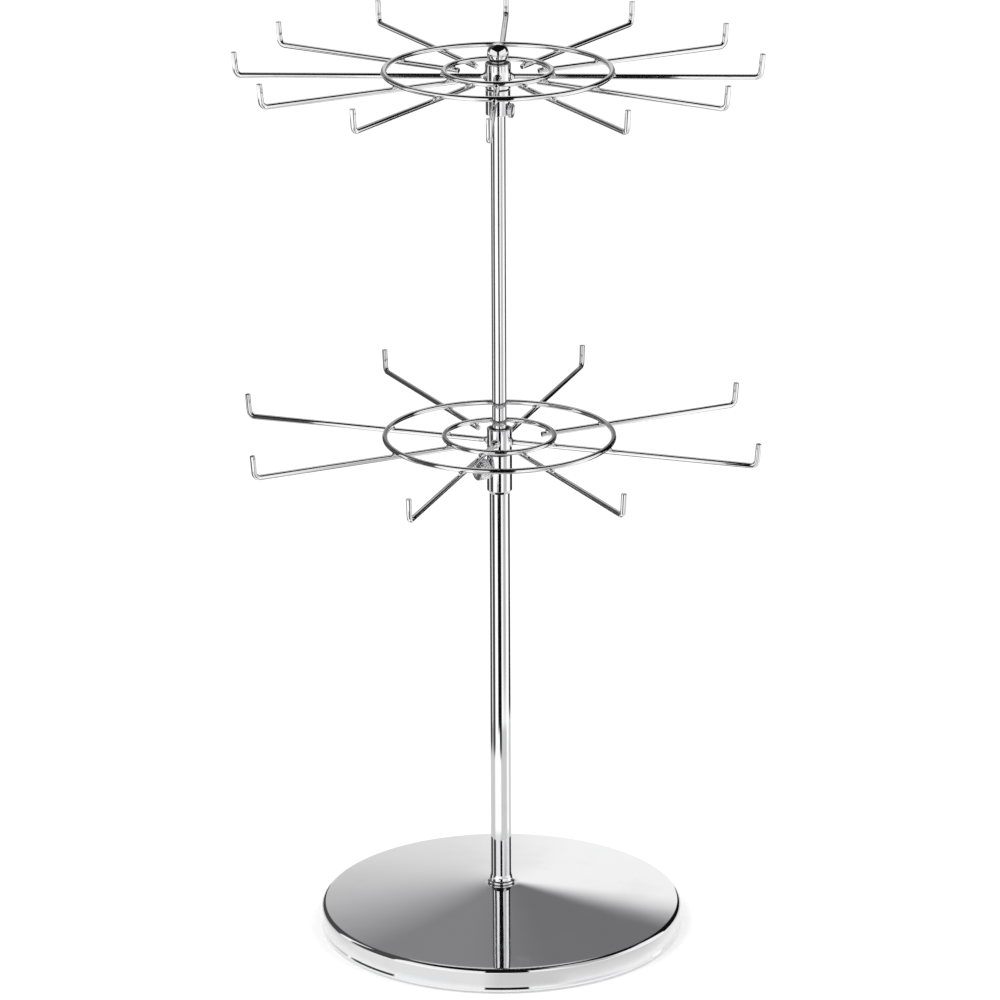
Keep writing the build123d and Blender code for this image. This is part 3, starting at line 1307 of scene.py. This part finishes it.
@dataclass(frozen=True)
class FloorShade:
    """A patch of shade on the floor that only reflections see; azimuths as for the cards."""

    name: str
    start: float
    end: float
    inner: float
    outer: float
    height: float
    tone: Tone
    fade_side: float = 0.10
    fade_end: float = 0.20
    steps: int = 48

    def rails(self) -> tuple[list[Vector], list[Vector]]:
        """Give the patch's outline.

        Returns:
            Its inner and its outer edge.
        """
        span = self.end - self.start
        turns = [radians(self.start + span * k / self.steps) for k in range(self.steps + 1)]
        spokes = [Vector((sin(a), -cos(a), 0)) for a in turns]
        lift = Vector((0, 0, self.height))
        return [s * self.inner + lift for s in spokes], [s * self.outer + lift for s in spokes]


SHADES: tuple[Card | FloorShade, ...] = (
    Card("front_gap_card", 2.7, 258, 108, 0, 720, Tone.BLACK),
    Card("left_gap_card", -74, 258, 158, 0, 450, Tone.CHARCOAL, fade_end=0.02),
    Card("left_back_gap_card", -125.5, 258, 235, 0, 450, Tone.CHARCOAL, fade_end=0.02),
    Card("right_pale_card", 50, 258, 248, 0, 450, Tone.PALE, 0.40, 0.16),
    Card("right_back_gap_card", 127.5, 300, 249, 0, 450, Tone.BLACK, fade_end=0.04),
    Card("left_high_card", -120, 500, 480, 470, 1400, Tone.CHARCOAL, 0.15, 0.05),
    Card("right_high_card", 125, 500, 440, 470, 1400, Tone.BLACK, 0.15, 0.05),
    Card("back_pale_card", 180, 585, 360, 520, 860, Tone.SHADE, 0.12, 0.10),
    FloorShade("front_floor_gap", -25.5, -6, 300, 800, 0.8, Tone.BLACK, 0.06, 0.04),
    FloorShade("ring_shade", -180, 180, 101, 150, 0.2, Tone.SOFT_SHADE, 0.0, 0.25),
    FloorShade("front_shade", -9, 26, 101, 150, 0.3, Tone.SHADE, 0.25, 0.25),
    FloorShade("right_shade", -2, 78, 104, 330, 0.4, Tone.SHADE, 0.15, 0.1),
    FloorShade("right_back_shade", 98, 150, 104, 330, 0.5, Tone.SHADE, 0.15, 0.1),
    FloorShade("left_shade", -150, -62, 104, 330, 0.6, Tone.SHADE, 0.1, 0.1),
    FloorShade("back_shade", 152, 208, 102, 450, 0.7, Tone.DEEP_SHADE, 0.2, 0.3),
)


@dataclass
class Studio:
    """Plain pale floor, soft light, the camera, and cards for the metal to mirror."""

    floor_size: float = 14.0
    floor_colour: Colour = (0.78, 0.78, 0.78)
    floor_lift: float = 0.30
    far_floor_lift: float = 0.39
    floor_reach: tuple[float, float] = (0.8, 3.5)
    daylight: float = 0.80
    lamp_height: float = 2.4
    lamp_size: float = 1.6
    lamp_aim: float = 0.25
    ceiling_height: float = 2000.0
    ceiling_front: tuple[tuple[float, float], ...] = (
        (-2300, -200), (-250, -4200), (250, -4200), (2300, -200))
    ceiling_back: tuple[tuple[float, float], ...] = (
        (-2300, 800), (-600, 700), (500, 850), (2300, 1100))
    wall_distance: float = 600.0
    wall_width: float = 1400.0
    wall_top: float = 1050.0
    wall_top_fade: float = 0.08
    wall_colour: Colour = (0.98, 0.96, 1.0)
    wall_left_foot: tuple[float, float] = (-0.02, 0.435)
    wall_left_strength: float = 0.92
    wall_right_foot: tuple[float, float] = (0.24, 0.365)
    wall_change: tuple[float, float] = (-0.055, 0.075)
    camera_place: tuple[float, float, float] = (0.18, -2810.35, 1176.88)
    camera_pitch: float = 18.2945
    camera_roll: float = -0.237
    camera_range: float = 60.0
    focal_pixels: float = 5456.35
    frame_pixels: float = 1000.0
    film_width: float = 36.0

    def camera(self) -> None:
        """Set up the camera at the photograph's place and angle."""
        data = bpy.data.cameras.new("photo_camera")
        data.sensor_fit = "HORIZONTAL"
        data.sensor_width = self.film_width
        data.lens = self.focal_pixels / self.frame_pixels * self.film_width
        data.clip_end = self.camera_range
        camera = bpy.data.objects.new("photo_camera", data)
        bpy.context.scene.collection.objects.link(camera)
        pitch = Matrix.Rotation(radians(90 - self.camera_pitch), 4, "X")
        roll = Matrix.Rotation(radians(self.camera_roll), 4, "Z")
        camera.matrix_world = Matrix.Translation(Vector(self.camera_place) * MM) @ (pitch @ roll)
        bpy.context.scene.camera = camera
        log.info("camera: lens %.2f mm", data.lens)

    def sheet(
        self,
        name: str,
        near: Sequence[Vector],
        far: Sequence[Vector],
        material: Material,
        mirrored: bool = True,
    ) -> None:
        """Make one flat piece of the studio between two edges.

        Args:
            name: Name of the new object.
            near: Points of one edge in millimetres.
            far: The same number of points along the opposite edge.
            material: Its material.
            mirrored: Whether only reflections see it.
        """
        last = len(near) - 1
        quads = [(k, k + 1, last + k + 2, last + k + 1) for k in range(last)]
        mesh = bpy.data.meshes.new(name)
        mesh.from_pydata([tuple(p * MM) for p in (*near, *far)], [], quads)
        layer = mesh.uv_layers.new(name="UVMap")
        for loop in mesh.loops:
            column, row = loop.vertex_index % (last + 1), loop.vertex_index // (last + 1)
            layer.data[loop.index].uv = (column / last, row)
        mesh.materials.append(material)
        piece = bpy.data.objects.new(name, mesh)
        bpy.context.scene.collection.objects.link(piece)
        if mirrored:
            piece.visible_camera = False
            piece.visible_diffuse = False
            piece.visible_shadow = False
            piece.visible_volume_scatter = False

    def looked_at(self, bench: NodeBench) -> NodeSocket:
        """Tell what looks at a surface from the light that it casts.

        Args:
            bench: The bench that the nodes are added to.

        Returns:
            An output that is 1 for the camera, reflections and what shines through, else 0.
        """
        light = bench.add("ShaderNodeLightPath").outputs
        seen = bench.maths("ADD", light["Is Camera Ray"], light["Is Glossy Ray"])
        return bench.maths("ADD", seen, light["Is Transmission Ray"])

    def floor(self) -> None:
        """Lay the pale floor, whose colour is lifted to white for what looks at it."""
        material, bench, shader = new_material("pale_floor")
        shader["Base Color"].default_value = (*self.floor_colour, 1.0)
        shader["Roughness"].default_value = 1.0
        shader["Specular IOR Level"].default_value = 0.0
        shader["Emission Color"].default_value = (1.0, 1.0, 1.0, 1.0)
        seen = self.looked_at(bench)
        reach = bench.add("ShaderNodeVectorMath", {0: bench.place()}, operation="LENGTH")
        lift = bench.ramp(
            reach.outputs["Value"], *self.floor_reach, self.floor_lift, self.far_floor_lift)
        bench.tree.links.new(bench.maths("MULTIPLY", seen, lift), shader["Emission Strength"])
        half = self.floor_size / 2 / MM
        near, far = [[Vector((x, y, 0)) for x in (-half, half)] for y in (-half, half)]
        self.sheet("studio_floor", near, far, material, mirrored=False)

    def world(self) -> None:
        """Light the stand evenly from all round; what looks at the surroundings sees white."""
        world = bpy.data.worlds.new("studio_surroundings")
        bpy.context.scene.world = world
        world.use_nodes = True
        world.node_tree.nodes.clear()
        bench = NodeBench(world.node_tree)
        seen = self.looked_at(bench)
        even, white = [
            bench.add("ShaderNodeBackground", {"Color": (1, 1, 1, 1), "Strength": strength})
            for strength in (self.daylight, 1.0)
        ]
        inputs = {0: seen, 1: even.outputs[0], 2: white.outputs[0]}
        mixed = bench.add("ShaderNodeMixShader", inputs)
        bench.add("ShaderNodeOutputWorld", {"Surface": mixed.outputs[0]})

    def lamps(self) -> None:
        """Hang two large soft lamps that shape matt surfaces and the floor's shadow."""
        for name, x, y, power in (
            ("left_soft_lamp", -1.5, -1.1, 26.0),
            ("right_soft_lamp", 1.8, -0.4, 14.0),
        ):
            data = bpy.data.lights.new(name, "AREA")
            data.shape = "DISK"
            data.size = self.lamp_size
            data.energy = power
            lamp = bpy.data.objects.new(name, data)
            bpy.context.scene.collection.objects.link(lamp)
            place = Vector((x, y, self.lamp_height))
            aim = (Vector((0, 0, self.lamp_aim)) - place).to_track_quat("-Z", "Y")
            lamp.matrix_world = Matrix.Translation(place) @ aim.to_matrix().to_4x4()
            lamp.visible_glossy = False
            lamp.visible_camera = False

    def glow(self, name: str, colour: Colour, tone: Tone) -> tuple[Material, NodeBench, Any]:
        """Start a material that only glows, and casts no light of its own.

        Args:
            name: Name of the new material.
            colour: Colour of the glow.
            tone: Its brightness.

        Returns:
            The material, the bench for its nodes and its Alpha input.
        """
        material, bench, shader = new_material(name)
        shader["Base Color"].default_value = (0, 0, 0, 1)
        shader["Specular IOR Level"].default_value = 0.0
        shader["Emission Color"].default_value = (*colour, 1)
        shader["Emission Strength"].default_value = tone.value
        material.cycles.emission_sampling = "NONE"
        return material, bench, shader["Alpha"]

    def card_material(
        self, name: str, tone: Tone, fade_side: float = 0.0, fade_end: float = 0.0
    ) -> Material:
        """Make a card's even tone, which fades out at its edges.

        Args:
            name: Name of the new material.
            tone: The card's brightness.
            fade_side: Share of the width over which each side fades.
            fade_end: Share of the height over which each end fades.

        Returns:
            The material.
        """
        material, bench, alpha = self.glow(name, (1, 1, 1), tone)
        axes = bench.axes("UV")
        masks = []
        for label, fade in (("X", fade_side), ("Y", fade_end)):
            if fade > 0:
                middle = bench.maths("ABSOLUTE", bench.maths("SUBTRACT", axes[label], 0.5))
                masks.append(bench.ramp(middle, 0.5, 0.5 - fade))
        if masks:
            mask = masks[0] if len(masks) == 1 else bench.maths("MULTIPLY", *masks)
            bench.tree.links.new(mask, alpha)
        return material

    def wall_material(self) -> Material:
        """Make the wall's tone: sharp-edged on the right, growing from the floor on the left.

        Returns:
            The material.
        """
        material, bench, alpha = self.glow("dim_back_wall", self.wall_colour, Tone.GREY)
        axes = bench.axes()
        low, high = self.wall_left_foot
        limits = {"From Min": low, "From Max": high, "To Max": self.wall_left_strength}
        left = bench.add("ShaderNodeMapRange", {"Value": axes["Z"], **limits}).outputs["Result"]
        right = bench.ramp(axes["Z"], *self.wall_right_foot)
        side = bench.ramp(axes["X"], *self.wall_change)
        mixed = bench.add("ShaderNodeMix", {"Factor": side, 2: left, 3: right}, data_type="FLOAT")
        top = self.wall_top * MM
        over = bench.ramp(axes["Z"], top, top - self.wall_top_fade)
        bench.tree.links.new(bench.maths("MULTIPLY", mixed.outputs[0], over), alpha)
        return material

    def set_shades(self) -> None:
        """Set the cards and shades round the stand, the dark ceiling and the dim back wall."""
        for shade in SHADES:
            material = self.card_material(shade.name, shade.tone, shade.fade_side, shade.fade_end)
            self.sheet(shade.name, *shade.rails(), material)
        front, back = [
            [Vector((x, y, self.ceiling_height)) for x, y in edge]
            for edge in (self.ceiling_front, self.ceiling_back)
        ]
        material = self.card_material("dark_ceiling", Tone.BLACK)
        self.sheet("dark_ceiling", front, back, material)
        half = self.wall_width / 2
        low, high = [
            [Vector((x, self.wall_distance, z)) for x in (-half, half)] for z in (0, self.wall_top)
        ]
        self.sheet("dim_back_wall", low, high, self.wall_material())
        log.info("studio: %d cards and shades, a ceiling and a wall", len(SHADES))

    def build(self) -> None:
        """Build the studio."""
        bpy.context.scene.view_settings.view_transform = "Standard"
        self.camera()
        self.floor()
        self.world()
        self.lamps()
        self.set_shades()


def main() -> None:
    """Build the studio and the stand."""
    logging.basicConfig(level=logging.INFO, format="%(name)s %(message)s")
    parts = (
        Studio(),
        WeightedBase(),
        FixedPole(),
        ClampScrew(
            "lock_screw_turning", "lock_screw", "lock_thumbscrew", height=267.0, angle=-150.0,
            seat=7.0, shank_radius=2.5, head_radius=5.75, head_length=7.0, bevel=0.5),
        HookWheel(
            "lower", hub_bottom=275.3, reach=144.5, outer_ring=61.9, inner_ring=29.8, hooks=8,
            start_angle=-18.8, flange_radius=5.5),
        Mast(),
        UpperCollar(),
        ClampScrew(
            "upper_screw_turning", "upper_screw", "upper_thumbscrew", height=465.6, angle=-18.0,
            seat=5.4, shank_radius=1.5, head_radius=4.0, head_length=2.6, bevel=0.3),
        # The upper wheel's wider flange_radius is painted shade in the gap under the ball.
        HookWheel(
            "upper", hub_bottom=477.7, reach=138.8, outer_ring=60.5, inner_ring=28.7, hooks=12,
            start_angle=-1.9, flange_radius=6.3),
    )
    for part in parts:
        part.build()


if __name__ == "__main__":
    main()
